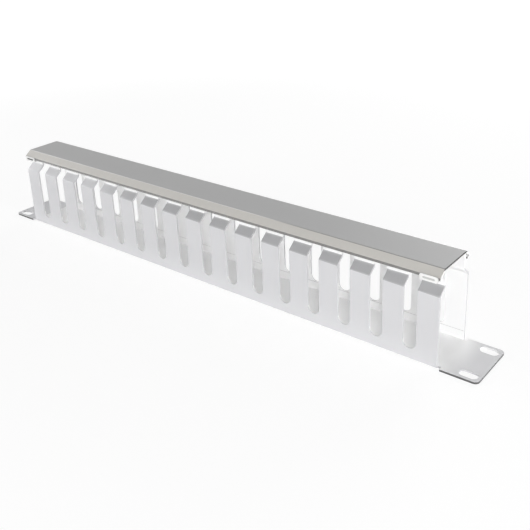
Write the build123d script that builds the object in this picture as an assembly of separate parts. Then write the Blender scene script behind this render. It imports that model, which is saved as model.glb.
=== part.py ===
from build123d import *
from math import radians, tan
import os

# Horizontal cable manager for a 19 inch rack, one unit high.
# A folded sheet duct with finger walls and two mounting ears, closed by a folded cover.
# X runs along the rack's width, Y up the rack's height, and Z out of the rack's front.
# It lies on the back of its mounting plate. All sizes are in millimetres.

# Mounting plate and ears
panel_width = 482.6
panel_height = 43.8
body_sheet = 1.5
ear_corner_radius = 3.5
ear_length = 28.7
ear_hole_inset_x = 8.75
ear_hole_inset_y = 6.025
ear_slot_length = 13.0
ear_slot_width = 7.0
relief_width = 2.2

# Finger walls
finger_count = 17
slot_width = 10.0
duct_inset = 1.2
wall_height = 53.0
chamfer_rise = 4.8
chamfer_inset = 6.0
lip_height = 11.2
slot_floor = 8.3
body_bend_radius = 1.8
lip_corner_radius = 1.5
cutter_overshoot = 5.0

# Cover
cover_sheet = 1.2
cover_overhang = 0.45
flange_angle = 38.0
return_width = 3.65
cover_bend_radius = 1.5
cover_clearance = 0.3
cover_side_clearance = 0.15

# Snap clips on the cover's edges
clip_length = 13.0
clip_height = 4.4
clip_wall = 0.8
clip_floor = 1.4
clip_end_inset = 1.2
clip_corner_radius = 1.5
clip_slit_length = 8.6
clip_slit_height = 1.4
clip_leg_height = 3.2
clip_gap = 0.05
clip_arm = 2.0
window_depth = 3.0
window_height = 2.2

# Worked out from the sizes above
ear_hole_spacing_x = panel_width - 2 * ear_hole_inset_x
ear_hole_spacing_y = panel_height - 2 * ear_hole_inset_y
duct_length = panel_width - 2 * ear_length
duct_width = panel_height - 2 * duct_inset
pitch = (duct_length + slot_width) / finger_count
finger_width = pitch - slot_width
half_length = duct_length / 2
half_width = duct_width / 2
lip_y = half_width - chamfer_inset
chamfer_top = wall_height + chamfer_rise
lip_top = chamfer_top + lip_height
cover_top = lip_top + cover_clearance + cover_sheet
cover_width = duct_width + 2 * cover_overhang
return_end_y = cover_width / 2 - return_width
# The cover's underside turns down just outside the lips, so its flanges sit over them like a roof.
cover_fold_y = lip_y + cover_side_clearance + cover_sheet * tan(radians(flange_angle / 2))
# Where the sloping flange would meet the flat return if their bend were sharp.
flange_corner_y = cover_width / 2 + cover_bend_radius * (1 / tan(radians(flange_angle / 2)) - 1)
return_z = cover_top - (flange_corner_y - cover_fold_y) * tan(radians(flange_angle))
clip_x = half_length - clip_end_inset - clip_length / 2


def folded_strip(points, radius, sheet, length):
    """A sheet folded along the outer profile (y, z) and as long as the duct, centred on X."""
    with BuildPart() as strip:
        with BuildSketch(Plane.YZ.offset(-length / 2)):
            with BuildLine():
                spine = FilletPolyline(*points, radius=radius)
                offset(spine, amount=sheet, side=Side.RIGHT)
            make_face()
        extrude(amount=length)
    return strip.part


def finger_walls():
    """Floor, both walls, their inward chamfers and the upright lips, before the slots are cut."""
    outer = [
        (lip_y, lip_top),
        (lip_y, chamfer_top),
        (half_width, wall_height),
        (half_width, 0),
        (-half_width, 0),
        (-half_width, wall_height),
        (-lip_y, chamfer_top),
        (-lip_y, lip_top),
    ]
    return folded_strip(outer, body_bend_radius, body_sheet, duct_length)


def slot_cutter():
    """One open-topped slot with a full round floor, long enough to pass through both walls."""
    reach = duct_width + 2 * cutter_overshoot
    top = lip_top + cutter_overshoot
    round_z = slot_floor + slot_width / 2
    corner_x = slot_width / 2 + lip_corner_radius
    corner_z = lip_top - lip_corner_radius
    with BuildPart() as cutter:
        with BuildSketch(Plane.XZ.offset(-reach / 2)):
            with Locations((0, round_z)):
                Circle(slot_width / 2)
            with Locations((0, (round_z + top) / 2)):
                Rectangle(slot_width, top - round_z)
            with Locations((0, (corner_z + lip_top) / 2)):
                Rectangle(2 * corner_x, lip_corner_radius)
            with Locations((-corner_x, corner_z), (corner_x, corner_z)):
                Circle(lip_corner_radius, mode=Mode.SUBTRACT)
        extrude(amount=reach)
    return cutter.part


def mounting_plate():
    """The flat plate with both ears, its mounting slots, and a relief beside each end of the folds."""
    fold_strip = panel_height / 2 - (half_width - body_bend_radius)
    strip_y = panel_height / 2 - fold_strip / 2
    with BuildPart() as plate:
        with BuildSketch():
            RectangleRounded(panel_width, panel_height, ear_corner_radius)
            with GridLocations(ear_hole_spacing_x, ear_hole_spacing_y, 2, 2):
                SlotOverall(ear_slot_length, ear_slot_width, mode=Mode.SUBTRACT)
            with Locations((0, -strip_y), (0, strip_y)):
                Rectangle(duct_length + 2 * relief_width, fold_strip, mode=Mode.SUBTRACT)
        extrude(amount=body_sheet)
    return plate.part


def duct_body():
    """The whole body, folded from one sheet."""
    body = finger_walls()
    cutter = slot_cutter()
    for index in range(finger_count - 1):
        slot_x = (index - (finger_count - 2) / 2) * pitch
        body = body - Pos(slot_x, 0, 0) * cutter
    return body + mounting_plate()


def cover():
    """The push-on cover: a flat top, sloping flanges, and a flat return inside each edge, with clip windows."""
    outer = [
        (-return_end_y, return_z),
        (-flange_corner_y, return_z),
        (-cover_fold_y, cover_top),
        (cover_fold_y, cover_top),
        (flange_corner_y, return_z),
        (return_end_y, return_z),
    ]
    with BuildPart() as piece:
        add(folded_strip(outer, cover_bend_radius, cover_sheet, duct_length))
        with GridLocations(2 * clip_x, cover_width, 2, 2):
            with Locations((0, 0, return_z)):
                Box(clip_slit_length, 2 * window_depth, 2 * window_height, mode=Mode.SUBTRACT)
    return piece.part


def clip():
    """A snap clip for the front right corner: a slit face, with an arm at each end under and behind the return."""
    face_y = -(cover_width / 2 + clip_gap)
    base_z = return_z - clip_floor
    face_z = base_z + clip_height / 2
    slit_z = return_z + clip_slit_height / 2
    inner_length = clip_length - 2 * clip_corner_radius
    leg_outer_y = -(return_end_y - clip_gap)
    leg_inner_y = -(lip_y + cover_clearance)
    with BuildPart() as piece:
        with BuildSketch(Plane.XZ.offset(-face_y)):
            with Locations((clip_x, face_z)):
                RectangleRounded(clip_length, clip_height, clip_corner_radius)
            with Locations((clip_x, slit_z)):
                SlotOverall(clip_slit_length, clip_slit_height, mode=Mode.SUBTRACT)
        extrude(amount=clip_wall)
        with Locations((clip_x, (face_y + leg_inner_y) / 2, base_z + clip_floor / 2)):
            Box(inner_length, leg_inner_y - face_y, clip_floor)
        with Locations((clip_x, (leg_outer_y + leg_inner_y) / 2, base_z + clip_leg_height / 2)):
            Box(inner_length, leg_inner_y - leg_outer_y, clip_leg_height)
        with Locations((clip_x, (face_y + leg_inner_y) / 2, base_z + clip_leg_height / 2)):
            Box(inner_length - 2 * clip_arm, leg_inner_y - face_y, clip_leg_height, mode=Mode.SUBTRACT)
    return piece.part


def clips():
    """The four corner clips, by the end and side that they hold."""
    front_right = clip()
    front_left = mirror(front_right, about=Plane.YZ)
    return {
        "clip_front_right": front_right,
        "clip_front_left": front_left,
        "clip_rear_right": mirror(front_right, about=Plane.XZ),
        "clip_rear_left": mirror(front_left, about=Plane.XZ),
    }


if __name__ == "__main__":
    os.makedirs("parts", exist_ok=True)
    export_step(duct_body(), "parts/duct_body.step")
    export_step(cover(), "parts/cover.step")
    for name, piece in clips().items():
        export_step(piece, f"parts/{name}.step")
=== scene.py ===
"""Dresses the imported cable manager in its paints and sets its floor, light and camera."""

import math

import bmesh
import bpy
from bpy.props import FloatProperty, FloatVectorProperty, PointerProperty
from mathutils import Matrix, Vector


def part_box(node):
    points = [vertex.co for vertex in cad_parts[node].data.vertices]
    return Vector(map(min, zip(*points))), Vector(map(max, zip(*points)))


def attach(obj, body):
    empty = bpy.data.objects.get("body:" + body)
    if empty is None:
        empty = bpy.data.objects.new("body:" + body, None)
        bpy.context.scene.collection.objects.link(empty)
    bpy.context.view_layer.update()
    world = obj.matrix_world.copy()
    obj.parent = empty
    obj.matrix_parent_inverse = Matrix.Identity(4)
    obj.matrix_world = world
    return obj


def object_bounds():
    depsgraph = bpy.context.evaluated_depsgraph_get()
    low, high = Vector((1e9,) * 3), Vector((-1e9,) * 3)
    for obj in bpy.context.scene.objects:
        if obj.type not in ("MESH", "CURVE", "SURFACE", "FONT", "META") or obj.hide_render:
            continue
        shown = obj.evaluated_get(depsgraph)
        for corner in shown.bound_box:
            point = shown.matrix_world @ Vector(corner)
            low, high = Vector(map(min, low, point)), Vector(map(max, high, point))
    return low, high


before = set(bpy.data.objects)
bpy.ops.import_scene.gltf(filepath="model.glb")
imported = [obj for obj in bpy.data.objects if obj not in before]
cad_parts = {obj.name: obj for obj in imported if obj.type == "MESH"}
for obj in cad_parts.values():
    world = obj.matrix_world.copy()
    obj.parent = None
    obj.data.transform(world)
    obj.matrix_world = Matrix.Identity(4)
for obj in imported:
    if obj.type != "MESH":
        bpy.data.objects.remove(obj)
cad_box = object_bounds()

bl_info = {
    "name": "Horizontal cable manager",
    "version": (1, 0, 0),
    "blender": (4, 5, 0),
    "location": "3D View > Sidebar > Cable manager",
    "description": "Paints the folded duct and its cover, finishes the clips and sets a plain studio",
    "category": "Object",
}

MM = 0.001
CLIPS = ("clip_front_left", "clip_front_right", "clip_rear_left", "clip_rear_right")
COVER_LOW, COVER_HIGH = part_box("cover")
HALF_DUCT = COVER_HIGH.x
SHEET = 1.5 * MM

# Least part of a surface's normal that counts as facing up or down
FACING = 0.5

# Where the duct's paint changes: along X from its middle, along Z from the back of its plate.
# A face looks out of the duct where its Y times its normal's part along Y is over OUTWARD.
OUTWARD = 0.5 * MM
FOOT_HEIGHT = 22 * MM
# Painted light: below FOOT_HEIGHT the walls' paint is made lighter towards their foot
FOOT_PAINTED_LIGHT = 1.06
CHAMFER_LOW = 52.3 * MM
CHAMFER_HIGH = 58.5 * MM
CHAMFER_TURN = 0.25
CHAMFER_FADE = (-130 * MM, -50 * MM)
# Painted light: the right ear is painted lighter beside the walls, fading out over this reach
EAR_PAINTED_LIGHT_REACH = 19 * MM
# A thin dark line is painted along the inside of the walls at this height
DARK_LINE_HEIGHT = 8.0 * MM
DARK_LINE_HALF_WIDTH = 0.15 * MM
DARK_LINE_STRENGTH = 0.45

# The ears' cut rim starts past the fold's relief. The walls of the mounting holes keep their paint.
RIM_START = HALF_DUCT + 2.3 * MM
EAR_HOLES = (225.5 * MM, 239.5 * MM)
EAR_HOLES_REACH = 19.6 * MM

# Where the cover's paint changes. A turn is the upward part of the surface's normal, or its part
# along X at the cut ends.
TOP_TURN = 0.97
FLANGE_TURN = 0.85
# Painted shade where the flanges roll under
ROLL_TURNS = (0.74, 0.5)
ROLL_SHADE = 0.8
# Painted reflection along the bends: a painted highlight at the left that turns dark towards the right
BEND_TURNS = (0.82, 0.985)
BEND_BOTTOM = COVER_HIGH.z - 2 * MM
BEND_FADE = (40 * MM, 120 * MM)
BEND_SHADE = 0.55
BEND_SHINE = 0.6
# Painted light: the cover's underside, the top face of its returns and its cut ends take the light colour
UNDER_TURN = -0.3
UNDER_BOTTOM = COVER_LOW.z + 1 * MM
RETURN_TURN = 0.9
RETURN_TOP = COVER_LOW.z + 3 * MM
END_START = HALF_DUCT - 0.3 * MM
END_TURN = 0.7
# The top's cut ends are painted dark
DARK_END_TURN = 0.3
DARK_END_BOTTOM = COVER_HIGH.z - 1.3 * MM
DARK_END_TONE = 0.2

# Slow drifts and fine ripples of the paint
TONE_CLOUD = 90 * MM
TONE_DRIFT = 0.03
PAINTED_LIGHT_DRIFT = 0.01
GLOSS_CLOUD = 14 * MM
GLOSS_DRIFT = 0.08
SPECK_SIZE = 0.25
SPECK_SHARE = 0.3
RIPPLE_DEPTH = 0.012 * MM
SATIN_SPECULAR = 0.45

# Moulded plastic of the clips
PLASTIC_CLOUD = 6 * MM
PLASTIC_GRAIN = 0.35 * MM
PLASTIC_DEPTH = 0.006 * MM
# Painted shade on the clips' faces that turn sideways
PLASTIC_SIDE_TURNS = (0.7, 0.3)
PLASTIC_SIDE_SHADE = 0.7
PLASTIC_ROUGHNESS = 0.5

# Spring steel of the catch tongues, and where they stand in the clips' slits
BRUSH_STRETCH = (0.06, 1, 1)
BRUSH_WIDTH = 0.15 * MM
BRUSH_DEPTH = 0.003 * MM
BRUSH_DRIFT = 0.15
STEEL_ROUGHNESS = 0.42
STEEL_ROUGHNESS_DRIFT = 0.1
TONGUE_THICKNESS = 0.3 * MM
TONGUE_BEHIND = 0.12 * MM
SLIT_HEIGHT = 2.1 * MM
ROUND_STEPS = 8

# Modifiers that ease the cut edges
JOIN_WITHIN = 0.001 * MM
FLAT_WITHIN = math.radians(0.5)
SHARP_FROM = math.radians(40)
EASE_SEGMENTS = 2

# Floor and sky: radii and distances in metres
FLOOR_RADIUS = 8.0
FLOOR_SIDES = 96
FLOOR_GAP = 0.02 * MM
FLOOR_WHITE = 1.08
FLOOR_ROUGHNESS = 0.9
SHADING_FULL = 0.5
SHADING_END = 1.0
SKY_BAND = 0.8

# The soft lights: name, place and size in metres, power in watts
SOFT_LIGHTS = (
    ("key_light", (0.9, -0.95, 0.6), 0.35, 7.2),
    ("low_key_light", (1.25, -1.3, 0.22), 0.5, 3.0),
    ("front_left_light", (-1.0, -1.6, 0.4), 0.9, 11.5),
    ("left_light", (-1.9, -0.3, 0.5), 1.0, 14),
    ("right_light", (1.9, -0.1, 0.5), 1.0, 15),
    ("back_light", (-0.3, 1.8, 1.0), 1.2, 5),
    ("low_back_light", (0.1, 1.7, 0.3), 0.9, 20),
)


class SheetSettings(bpy.types.PropertyGroup):
    """Sizes and colours of the two folded sheets."""

    edge_round: FloatProperty(
        name="Edge round", description="Radius that the sheet's cut edges are eased to",
        default=0.22 * MM, min=0.02 * MM, max=0.5 * MM, unit="LENGTH")
    duct_colour: FloatVectorProperty(
        name="Duct paint", description="Light grey paint on the outside of the duct and on its ears",
        default=(0.63, 0.63, 0.645), size=3, min=0, max=1, subtype="COLOR")
    # Painted light: this light colour goes inside the duct, on its lips and right ear, and under and at the
    # ends of the cover
    painted_light_colour: FloatVectorProperty(
        name="Lining paint", description="Paler paint on the inside of the duct",
        default=(0.95, 0.95, 0.95), size=3, min=0, max=1, subtype="COLOR")
    # Painted shade: the fingers' chamfers under the cover's flanges are painted darker
    chamfer_painted_shade: FloatProperty(
        name="Chamfer tone", description="How dark the fingers' chamfers are beside the walls",
        default=0.66, min=0, max=1, subtype="FACTOR")
    # Dark colour of the ears' rims and the top's cut ends, also used for painted shade and painted reflection
    rim_and_shade_colour: FloatVectorProperty(
        name="Cut edges", description="Bare dark edge where the ears and the cover's ends were cut",
        default=(0.10, 0.10, 0.10), size=3, min=0, max=1, subtype="COLOR")
    cover_colour: FloatVectorProperty(
        name="Cover paint", description="Mid grey paint on the cover",
        default=(0.49, 0.49, 0.49), size=3, min=0, max=1, subtype="COLOR")
    # Painted light and painted warm reflection: the flanges are painted lighter and warmer than the cover's
    # top
    lit_flange_colour: FloatVectorProperty(
        name="Flange paint", description="Slightly warmer grey on the cover's flanges",
        default=(0.57, 0.555, 0.525), size=3, min=0, max=1, subtype="COLOR")
    gloss_roughness: FloatProperty(
        name="Roughness", description="Roughness of the satin paint",
        default=0.42, min=0.05, max=1, subtype="FACTOR")
    grain_size: FloatProperty(
        name="Paint grain", description="Width of the fine ripples in the sprayed paint",
        default=1.1 * MM, min=0.2 * MM, max=5 * MM, unit="LENGTH")


class ClipSettings(bpy.types.PropertyGroup):
    """Sizes and colours of the moulded clips."""

    edge_round: FloatProperty(
        name="Edge round", description="Radius on the moulding's edges",
        default=0.2 * MM, min=0.02 * MM, max=0.5 * MM, unit="LENGTH")
    colour: FloatVectorProperty(
        name="Plastic", description="White of the moulded clips",
        default=(0.83, 0.83, 0.82), size=3, min=0, max=1, subtype="COLOR")
    tongue_length: FloatProperty(
        name="Tongue length", description="Length of the thin catch tongue in each clip's slit",
        default=8.5 * MM, min=2 * MM, max=8.5 * MM, unit="LENGTH")
    tongue_height: FloatProperty(
        name="Tongue height", description="Height of the catch tongue",
        default=1.3 * MM, min=0.5 * MM, max=1.3 * MM, unit="LENGTH")
    # Painted shade and light: the left tongues are near black for the shade in their slits, the right ones
    # light
    shaded_tongue: FloatVectorProperty(
        name="Left tongues", description="Blackened spring steel of the tongues at the left",
        default=(0.012, 0.012, 0.012), size=3, min=0, max=1, subtype="COLOR")
    lit_tongue: FloatVectorProperty(
        name="Right tongues", description="Bare light steel of the tongues at the right",
        default=(0.55, 0.55, 0.54), size=3, min=0, max=1, subtype="COLOR")


class StudioSettings(bpy.types.PropertyGroup):
    """Floor, lights and camera."""

    floor_colour: FloatVectorProperty(
        name="Floor", description="Colour of the pale floor",
        default=(0.9, 0.9, 0.9), size=3, min=0, max=1, subtype="COLOR")
    shadow_share: FloatProperty(
        name="Shadow share", description="How much of the floor's own shading is seen near the object",
        default=0.22, min=0, max=1, subtype="FACTOR")
    zenith: FloatProperty(
        name="Zenith", description="Strength of the plain light from straight above",
        default=0.0, min=0, max=2)
    horizon: FloatProperty(
        name="Horizon", description="Strength of the plain light from low down all round",
        default=0.46, min=0, max=2)
    light_level: FloatProperty(
        name="Light level", description="Scale of the soft lights' power", default=1.0, min=0, max=10)
    lens: FloatProperty(
        name="Lens", description="Focal length on a 36 mm sensor",
        default=53.277, min=10, max=300, unit="CAMERA")
    camera_place: FloatVectorProperty(
        name="Camera", description="Where the camera stands",
        default=(0.4027, -0.4178, 0.3005), size=3, subtype="TRANSLATION", unit="LENGTH")
    camera_turn: FloatVectorProperty(
        name="Turn", description="How the camera is turned",
        default=(math.radians(69.108), math.radians(1.970), math.radians(38.061)),
        size=3, subtype="EULER", unit="ROTATION")
    camera_shift: FloatVectorProperty(
        name="Shift", description="Lens shift, in frame widths, that keeps the uprights nearly parallel",
        default=(-0.0164, -0.1655), size=2, min=-0.3, max=0.3)


class Signal:
    """One output of a node, on which Python's operators add Math nodes."""

    def __init__(self, finish, socket):
        self.finish = finish
        self.socket = socket

    def maths(self, operation, *values):
        return self.finish.node("ShaderNodeMath", {"operation": operation}, dict(enumerate(values)))

    def __add__(self, other):
        return self.maths("ADD", self, other)

    def __radd__(self, other):
        return self.maths("ADD", other, self)

    def __sub__(self, other):
        return self.maths("SUBTRACT", self, other)

    def __rsub__(self, other):
        return self.maths("SUBTRACT", other, self)

    def __mul__(self, other):
        return self.maths("MULTIPLY", self, other)

    def __rmul__(self, other):
        return self.maths("MULTIPLY", other, self)

    def __lt__(self, other):
        return self.maths("LESS_THAN", self, other)

    def __gt__(self, other):
        return self.maths("GREATER_THAN", self, other)

    def __abs__(self):
        return self.maths("ABSOLUTE", self)

    def both(self, other):
        return self.maths("MINIMUM", self, other)

    def either(self, other):
        return self.maths("MAXIMUM", self, other)


class Finish:
    """A material, or the sky, whose nodes are added one by one."""

    def __init__(self, name, owner=None):
        self.material = owner or bpy.data.materials.new(name)
        self.material.use_nodes = True
        self.tree = self.material.node_tree
        self.shader = self.tree.nodes.get("Principled BSDF")
        self.output = self.tree.nodes.get("Material Output")

    def node(self, kind, settings=None, inputs=None, output=0):
        """Adds a node: its settings first, then its sockets' values or links."""
        made = self.tree.nodes.new(kind)
        for key, value in (settings or {}).items():
            setattr(made, key, value)
        for key, value in (inputs or {}).items():
            self.feed(made.inputs[key], value)
        return Signal(self, made.outputs[output])

    def feed(self, socket, value):
        if isinstance(value, Signal):
            self.tree.links.new(value.socket, socket)
        else:
            socket.default_value = value

    def set(self, **inputs):
        """Sets the Principled shader's sockets, with _ in a name for a space."""
        for key, value in inputs.items():
            self.feed(self.shader.inputs[key.replace("_", " ")], value)

    def place(self, output="Object"):
        """Where a point of the surface lies, in the object's own frame, or another such output."""
        return self.node("ShaderNodeTexCoord", output=output)

    def along(self, vector):
        """The three parts of a vector."""
        split = self.node("ShaderNodeSeparateXYZ", inputs={0: vector})
        outputs = split.socket.node.outputs
        return [Signal(self, outputs[i]) for i in range(3)]

    def noise(self, vector, size, detail):
        """Noise from 0 to 1 whose features are about that size, in metres."""
        return self.node("ShaderNodeTexNoise", inputs={"Vector": vector, "Scale": 1 / size, "Detail": detail})

    def mix(self, mask, low, high):
        """The low colour where the mask is 0 and the high one where it is 1."""
        return self.node("ShaderNodeMix", {"data_type": "RGBA"}, {0: mask, 6: low, 7: high}, output=2)

    def bump(self, height, depth):
        """A normal bent by ripples of that depth, in metres."""
        return self.node("ShaderNodeBump", inputs={"Height": height, "Distance": depth})


def rgba(colour, gain=1.0):
    """A colour made lighter or darker by a gain, with full alpha."""
    return (colour[0] * gain, colour[1] * gain, colour[2] * gain, 1.0)


def between(value, low, high):
    """1 where a value lies between two others."""
    return (value > low).both(value < high)


def ramp(finish, value, start, end):
    """0 before start and 1 after end, with a soft change between them."""
    return finish.node("ShaderNodeMapRange", {"interpolation_type": "SMOOTHSTEP"}, {
        "Value": value, "From Min": start, "From Max": end})


def satin(finish, tone, sheet):
    """Sets the shader to satin paint of a tone, with a fine spray ripple and a slow drift of gloss."""
    place = finish.place()
    cloud = finish.noise(place, GLOSS_CLOUD, detail=4)
    grain = finish.noise(place, sheet.grain_size, detail=1)
    speck = finish.noise(place, sheet.grain_size * SPECK_SIZE, detail=0)
    finish.set(
        Base_Color=tone,
        Roughness=sheet.gloss_roughness - GLOSS_DRIFT / 2 + cloud * GLOSS_DRIFT,
        Normal=finish.bump(grain + speck * SPECK_SHARE, RIPPLE_DEPTH),
        Specular_IOR_Level=SATIN_SPECULAR)
    return finish.material


def drifting(finish, colour, drift=TONE_DRIFT):
    """A colour with a slow drift of tone over the sheet."""
    cloud = finish.noise(finish.place(), TONE_CLOUD, detail=3)
    return finish.mix(cloud, rgba(colour, 1 - drift), rgba(colour, 1 + drift))


def duct_paint(sheet):
    """Satin paint of the folded duct.

    It is painted light inside, on the lips and on the right ear beside the walls, painted lighter at
    the walls' foot as painted light, darker on the chamfers towards the right as painted shade, and
    dark at the ears' rims.
    """
    finish = Finish("duct_paint")
    x, y, z = finish.along(finish.place())
    _, turn_y, turn_z = finish.along(finish.place("Normal"))
    outward = y * turn_y
    inside = outward < -OUTWARD

    # Painted light: the walls are lighter towards their foot
    tone = finish.mix(
        ramp(finish, z, FOOT_HEIGHT, 0.0),
        drifting(finish, sheet.duct_colour), drifting(finish, rgba(sheet.duct_colour, FOOT_PAINTED_LIGHT)))
    # Painted shade: darker on the chamfers towards the right
    chamfer = between(z, CHAMFER_LOW, CHAMFER_HIGH).both(outward > OUTWARD).both(turn_z > CHAMFER_TURN)
    shade = drifting(finish, rgba(sheet.duct_colour, sheet.chamfer_painted_shade))
    tone = finish.mix(chamfer * ramp(finish, x, *CHAMFER_FADE), tone, shade)

    # Painted light: the duct's inside, its lips above the chamfers and the right ear beside the walls take
    # the light colour
    floor = (z < 2 * SHEET).both(turn_z > FACING).both(x > -HALF_DUCT)
    ear_light_mask = floor * ramp(finish, x, HALF_DUCT + EAR_PAINTED_LIGHT_REACH, HALF_DUCT)
    painted_light_mask = inside.either(ear_light_mask).either(z > CHAMFER_HIGH)
    tone = finish.mix(painted_light_mask, tone, drifting(finish, sheet.painted_light_colour, PAINTED_LIGHT_DRIFT))
    # A thin dark line is painted along the inside of the walls
    dark_line = between(z, DARK_LINE_HEIGHT - DARK_LINE_HALF_WIDTH, DARK_LINE_HEIGHT + DARK_LINE_HALF_WIDTH).both(inside)
    tone = finish.mix(dark_line * DARK_LINE_STRENGTH, tone, rgba(sheet.rim_and_shade_colour))

    # The ears' outer rims are painted dark, apart from the walls of the mounting holes
    in_hole = between(abs(x), *EAR_HOLES).both(abs(y) < EAR_HOLES_REACH)
    rim = (abs(x) > RIM_START).both(abs(turn_z) < FACING).both(1 - in_hole)
    return satin(finish, finish.mix(rim, tone, rgba(sheet.rim_and_shade_colour)), sheet)


def cover_paint(sheet):
    """Satin paint of the folded cover.

    It is painted lighter and warmer on the flanges as painted light and warm reflection, darker where
    they roll under as painted shade, and drawn along the bends by a painted highlight that turns into a
    painted dark reflection towards the right. It is painted light below and at the ends, and dark along
    the top's cut ends.
    """
    finish = Finish("cover_paint")
    x, _, z = finish.along(finish.place())
    turn_x, _, turn_z = finish.along(finish.place("Normal"))

    # Painted light and painted warm reflection: the flanges get a lighter, warmer colour than the top
    tone = finish.mix(
        ramp(finish, turn_z, TOP_TURN, FLANGE_TURN),
        drifting(finish, sheet.cover_colour), drifting(finish, sheet.lit_flange_colour))
    # Painted shade where the flanges roll under
    rolled = ramp(finish, turn_z, *ROLL_TURNS)
    tone = finish.mix(rolled * ROLL_SHADE, tone, rgba(sheet.rim_and_shade_colour))
    # Painted reflection along the bends: a painted highlight at the left, painted dark at the right
    bend = between(turn_z, *BEND_TURNS).both(z > BEND_BOTTOM)
    towards_right = ramp(finish, x, *BEND_FADE)
    tone = finish.mix(bend * towards_right * BEND_SHADE, tone, rgba(sheet.rim_and_shade_colour))
    tone = finish.mix(bend * (1 - towards_right) * BEND_SHINE, tone, rgba(sheet.painted_light_colour))

    at_end = abs(x) > END_START
    end = (abs(turn_x) > END_TURN).both(at_end)
    # Painted light: light colour under the cover, on its returns and at its ends
    under = (turn_z < UNDER_TURN).both(z > UNDER_BOTTOM)
    return_face = (turn_z > RETURN_TURN).both(z < RETURN_TOP)
    painted_light_mask = under.either(return_face).either(end)
    tone = finish.mix(painted_light_mask, tone, drifting(finish, sheet.painted_light_colour, PAINTED_LIGHT_DRIFT))
    # The top's cut ends are painted dark
    dark_end = (abs(turn_x) > DARK_END_TURN).both(at_end).both(z > DARK_END_BOTTOM)
    return satin(finish, finish.mix(dark_end, tone, rgba(sheet.rim_and_shade_colour, DARK_END_TONE)), sheet)


def moulded_plastic(name, colour):
    """Matte moulded plastic with a faint mould texture, and painted shade on its sideways faces."""
    finish = Finish(name)
    place = finish.place()
    drift = finish.noise(place, PLASTIC_CLOUD, detail=2)
    grain = finish.noise(place, PLASTIC_GRAIN, detail=1)
    _, turn_y, _ = finish.along(finish.place("Normal"))
    tone = finish.mix(drift, rgba(colour, 1 - TONE_DRIFT), rgba(colour, 1 + TONE_DRIFT))
    # Painted shade: darker on the faces that turn sideways
    side = ramp(finish, abs(turn_y), *PLASTIC_SIDE_TURNS)
    finish.set(
        Base_Color=finish.mix(side, tone, rgba(colour, PLASTIC_SIDE_SHADE)),
        Roughness=PLASTIC_ROUGHNESS + drift * GLOSS_DRIFT,
        Normal=finish.bump(grain, PLASTIC_DEPTH))
    return finish.material


def ease_edges(node, width):
    """Joins the imported facets and eases the sharp edges by modifiers, so that they catch the light."""
    weld = node.modifiers.new("Join facets", "WELD")
    weld.merge_threshold = JOIN_WITHIN
    flat = node.modifiers.new("Flat faces", "DECIMATE")
    flat.decimate_type = "DISSOLVE"
    flat.angle_limit = FLAT_WITHIN
    ease = node.modifiers.new("Eased edges", "BEVEL")
    ease.width = width
    ease.segments = EASE_SEGMENTS
    ease.limit_method = "ANGLE"
    ease.angle_limit = SHARP_FROM
    ease.harden_normals = True


def paint(node, material):
    """Puts a material in the node's only slot."""
    node.data.materials[0] = material


class CABLE_OT_duct(bpy.types.Operator):
    """Ease and paint the folded duct with its ears"""

    bl_idname = "cable.duct"
    bl_label = "Duct and ears"

    def execute(self, context):
        sheet = context.scene.cable_sheet
        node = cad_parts["duct_body"]
        ease_edges(node, sheet.edge_round)
        paint(node, duct_paint(sheet))
        return {"FINISHED"}


class CABLE_OT_cover(bpy.types.Operator):
    """Ease and paint the folded cover"""

    bl_idname = "cable.cover"
    bl_label = "Cover"

    def execute(self, context):
        sheet = context.scene.cable_sheet
        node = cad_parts["cover"]
        ease_edges(node, sheet.edge_round)
        paint(node, cover_paint(sheet))
        return {"FINISHED"}


def spring_steel(name, colour):
    """Thin brushed spring steel."""
    finish = Finish(name)
    stretch = finish.node("ShaderNodeMapping", inputs={"Vector": finish.place(), "Scale": BRUSH_STRETCH})
    brushed = finish.noise(stretch, BRUSH_WIDTH, detail=2)
    finish.set(
        Base_Color=finish.mix(brushed, rgba(colour, 1 - BRUSH_DRIFT), rgba(colour, 1 + BRUSH_DRIFT)),
        Roughness=STEEL_ROUGHNESS + brushed * STEEL_ROUGHNESS_DRIFT,
        Normal=finish.bump(brushed, BRUSH_DEPTH))
    return finish.material


def catch_tongue(name, clip_name, clip):
    """A thin tongue with rounded ends, standing in the slit of a clip's face."""
    low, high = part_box(clip_name)
    side = 1 if low.y > 0 else -1
    centre_x = (low.x + high.x) / 2
    centre_z = low.z + SLIT_HEIGHT
    radius = clip.tongue_height / 2
    reach = clip.tongue_length / 2 - radius
    outline = []
    for end in (1, -1):
        for step in range(ROUND_STEPS + 1):
            angle = math.radians(-90 + 180 * step / ROUND_STEPS) * end
            x = centre_x + end * (reach + radius * math.cos(angle))
            z = centre_z + radius * math.sin(angle)
            outline.append((x, z))
    face_y = side * (max(abs(low.y), abs(high.y)) - TONGUE_BEHIND)
    back_y = face_y - side * TONGUE_THICKNESS
    made = bmesh.new()
    front = [made.verts.new((x, face_y, z)) for x, z in outline]
    back = [made.verts.new((x, back_y, z)) for x, z in outline]
    made.faces.new(front)
    made.faces.new(back)
    for i in range(len(outline)):
        made.faces.new((front[i - 1], front[i], back[i], back[i - 1]))
    bmesh.ops.recalc_face_normals(made, faces=made.faces)
    mesh = bpy.data.meshes.new(name)
    made.to_mesh(mesh)
    made.free()
    tongue = bpy.data.objects.new(name, mesh)
    bpy.context.scene.collection.objects.link(tongue)
    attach(tongue, "cover")
    return tongue


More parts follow.
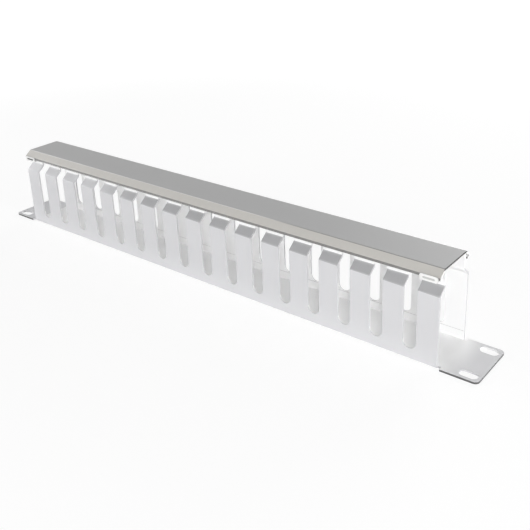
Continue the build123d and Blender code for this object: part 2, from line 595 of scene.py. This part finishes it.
class CABLE_OT_clips(bpy.types.Operator):
    """Ease and finish the four moulded clips and set the catch tongues in their slits"""

    bl_idname = "cable.clips"
    bl_label = "Clips"

    def execute(self, context):
        clip = context.scene.cable_clip
        plastic = moulded_plastic("clip_plastic", clip.colour)
        for name in CLIPS:
            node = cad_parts[name]
            ease_edges(node, clip.edge_round)
            paint(node, plastic)
        # Painted shade and light: near black tongues at the left for the shade in their slits, light ones at
        # the right
        dark = spring_steel("tongue_painted_shade", clip.shaded_tongue)
        light = spring_steel("tongue_painted_light", clip.lit_tongue)
        for name in CLIPS:
            tongue = catch_tongue(name.replace("clip", "tongue"), name, clip)
            tongue.data.materials.append(dark if name.endswith("left") else light)
        return {"FINISHED"}


def seen_directly(finish):
    """1 for rays from the camera, and for those that a gloss or a clear piece sends on."""
    outputs = finish.node("ShaderNodeLightPath").socket.node.outputs
    seen = Signal(finish, outputs["Is Camera Ray"])
    for other in ("Is Glossy Ray", "Is Transmission Ray"):
        seen = seen.either(Signal(finish, outputs[other]))
    return seen


def studio_surface(name, colour, share):
    """Pale floor that the camera and reflections see as white, with some shading kept near the object."""
    finish = Finish(name)
    finish.set(Base_Color=rgba(colour), Roughness=FLOOR_ROUGHNESS)
    x, y, _ = finish.along(finish.place())
    near = ramp(finish, x * x + y * y, SHADING_END ** 2, SHADING_FULL ** 2)
    white = finish.node("ShaderNodeEmission", inputs={"Color": (1, 1, 1, 1), "Strength": FLOOR_WHITE})
    mixed = finish.node("ShaderNodeMixShader", inputs={
        0: seen_directly(finish) * (1 - near * share), 1: Signal(finish, finish.shader.outputs[0]), 2: white})
    finish.feed(finish.output.inputs["Surface"], mixed)
    return finish.material


def studio_floor(colour, share):
    """A wide round floor just under the object."""
    mesh = bpy.data.meshes.new("studio_floor")
    made = bmesh.new()
    bmesh.ops.create_circle(made, cap_ends=True, segments=FLOOR_SIDES, radius=FLOOR_RADIUS)
    made.to_mesh(mesh)
    made.free()
    floor = bpy.data.objects.new("studio_floor", mesh)
    floor.location.z = cad_box[0][2] - FLOOR_GAP
    bpy.context.scene.collection.objects.link(floor)
    mesh.materials.append(studio_surface("studio_floor", colour, share))


def plain_sky(scene, zenith, horizon):
    """Plain light, stronger low down than overhead, which the camera and reflections see as white."""
    world = bpy.data.worlds.new("plain_sky")
    scene.world = world
    sky = Finish("plain_sky", world)
    _, _, height = sky.along(sky.place("Generated"))
    level = sky.node("ShaderNodeMapRange", inputs={
        "Value": abs(height), "From Min": 0.0, "From Max": SKY_BAND, "To Min": horizon, "To Max": zenith})
    seen = seen_directly(sky)
    background = sky.tree.nodes["Background"]
    sky.feed(background.inputs["Color"], (1, 1, 1, 1))
    sky.feed(background.inputs["Strength"], seen + (1 - seen) * level)


def soft_light(name, place, aim, size, power):
    """A square soft light at a place, turned towards its aim."""
    lamp = bpy.data.lights.new(name, "AREA")
    lamp.shape = "SQUARE"
    lamp.size = size
    lamp.energy = power
    made = bpy.data.objects.new(name, lamp)
    made.location = place
    made.rotation_euler = (Vector(aim) - Vector(place)).to_track_quat("-Z", "Y").to_euler()
    bpy.context.scene.collection.objects.link(made)


class CABLE_OT_studio(bpy.types.Operator):
    """Set the floor, the sky, the lights and the camera"""

    bl_idname = "cable.studio"
    bl_label = "Floor, lights and camera"

    def execute(self, context):
        scene = context.scene
        studio = scene.cable_studio
        studio_floor(studio.floor_colour, studio.shadow_share)
        plain_sky(scene, studio.zenith, studio.horizon)
        centre = (Vector(cad_box[0]) + Vector(cad_box[1])) / 2
        for name, place, size, power in SOFT_LIGHTS:
            soft_light(name, place, centre, size, power * studio.light_level)
        lens = bpy.data.cameras.new("camera")
        lens.sensor_width = 36
        lens.lens = studio.lens
        lens.clip_start = 0.01
        lens.shift_x, lens.shift_y = studio.camera_shift
        camera = bpy.data.objects.new("camera", lens)
        camera.location = studio.camera_place
        camera.rotation_euler = studio.camera_turn
        scene.collection.objects.link(camera)
        scene.camera = camera
        scene.view_settings.view_transform = "Standard"
        return {"FINISHED"}


OPERATORS = (CABLE_OT_duct, CABLE_OT_cover, CABLE_OT_clips, CABLE_OT_studio)
SETTINGS = {"cable_sheet": SheetSettings, "cable_clip": ClipSettings, "cable_studio": StudioSettings}


class CABLE_PT_panel(bpy.types.Panel):
    """Lists the steps and their settings"""

    bl_label = "Cable manager"
    bl_space_type = "VIEW_3D"
    bl_region_type = "UI"
    bl_category = "Cable manager"

    def draw(self, context):
        for operator in OPERATORS:
            self.layout.operator(operator.bl_idname)
        for name, group in SETTINGS.items():
            box = self.layout.box()
            for key in group.__annotations__:
                box.prop(getattr(context.scene, name), key)


def register():
    for group in SETTINGS.values():
        bpy.utils.register_class(group)
    for operator in OPERATORS:
        bpy.utils.register_class(operator)
    bpy.utils.register_class(CABLE_PT_panel)
    for name, group in SETTINGS.items():
        setattr(bpy.types.Scene, name, PointerProperty(type=group))


def unregister():
    for name in SETTINGS:
        delattr(bpy.types.Scene, name)
    bpy.utils.unregister_class(CABLE_PT_panel)
    for kind in OPERATORS + tuple(SETTINGS.values()):
        bpy.utils.unregister_class(kind)


def main():
    """Registers the add-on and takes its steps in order."""
    register()
    bpy.ops.cable.duct()
    bpy.ops.cable.cover()
    bpy.ops.cable.clips()
    bpy.ops.cable.studio()


if __name__ == "__main__":
    main()
